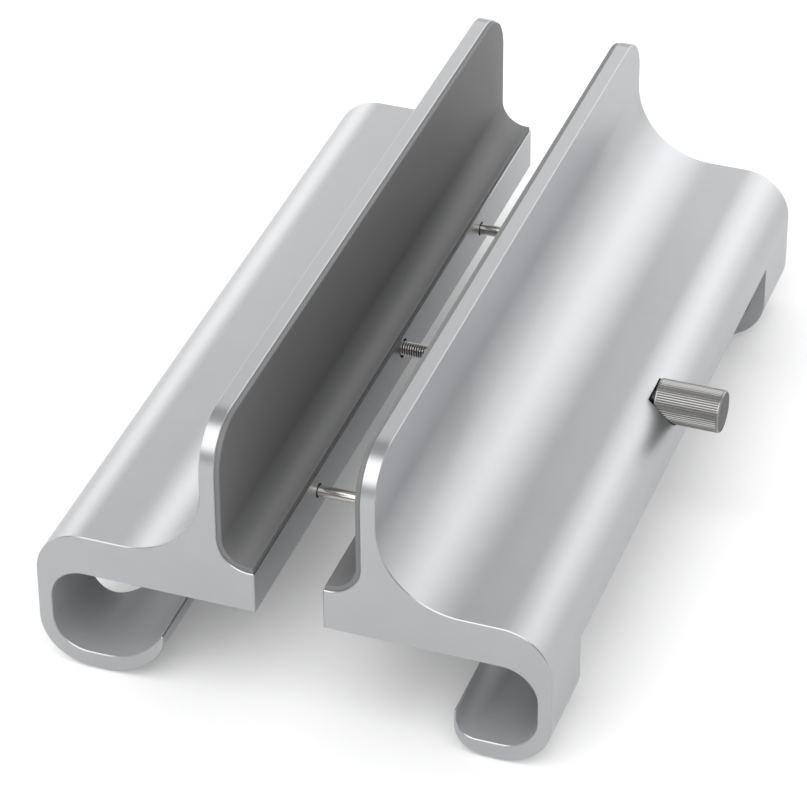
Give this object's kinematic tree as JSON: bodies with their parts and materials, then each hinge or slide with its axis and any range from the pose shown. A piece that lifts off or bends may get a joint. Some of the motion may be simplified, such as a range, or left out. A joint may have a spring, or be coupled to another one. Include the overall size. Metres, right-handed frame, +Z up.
{
  "type": "vertical laptop stand",
  "caption": "Low aluminium stand that holds a closed laptop upright between two curled rails; a ribbed knob and lead screw set the slot's width.",
  "frame": {"origin": "desk level, in the middle of the box round the whole stand", "axes": "+X towards the knob, +Y along the rails, +Z up"},
  "size_m": [0.1112, 0.165, 0.0615],
  "materials": {
    "rail_aluminium": "fine bead-blasted, clear anodised",
    "knob_aluminium": "turned and ribbed, clear anodised",
    "liner_silicone": "matte silicone",
    "foot_silicone": "matte silicone",
    "polished_steel": "ground and polished",
    "screw_steel": "rolled thread, oiled",
    "black_steel": "black oxide",
    "bronze": "sintered, oiled",
    "brass": "machined"
  },
  "bodies": {
    "fixed_side": {"right_rail": "rail_aluminium", "right_slot_pad": "liner_silicone", "front_guide_rod": "polished_steel", "rear_guide_rod": "polished_steel", "front_rod_grub_screw": "black_steel", "rear_rod_grub_screw": "black_steel", "inner_thrust_washer": "brass", "outer_thrust_washer": "brass", "screw_bush": "bronze", "right_front_foot_pad": "foot_silicone", "right_rear_foot_pad": "foot_silicone"},
    "sliding_side": {"left_rail": "rail_aluminium", "left_slot_pad": "liner_silicone", "front_rod_bush": "bronze", "rear_rod_bush": "bronze", "screw_insert": "brass", "left_front_foot_pad": "foot_silicone", "left_rear_foot_pad": "foot_silicone"},
    "knob_and_screw": {"knob": "knob_aluminium", "knob_set_screw": "black_steel", "lead_screw": "screw_steel"}
  },
  "joints": [
    {"name": "jaw_slide", "type": "slide", "parent": "fixed_side", "child": "sliding_side", "axis": [1, 0, 0], "range_m": [-0.00545, 0.0133]},
    {"name": "knob_spin", "type": "hinge", "parent": "fixed_side", "child": "knob_and_screw", "pos_m": [0.04225, 0, 0.0283], "axis": [1, 0, 0], "range_deg": [-9577, 3925]}
  ],
  "couplings": [
    {"joint": "knob_spin", "follows": "jaw_slide", "rad_per_m": -12566}
  ]
}
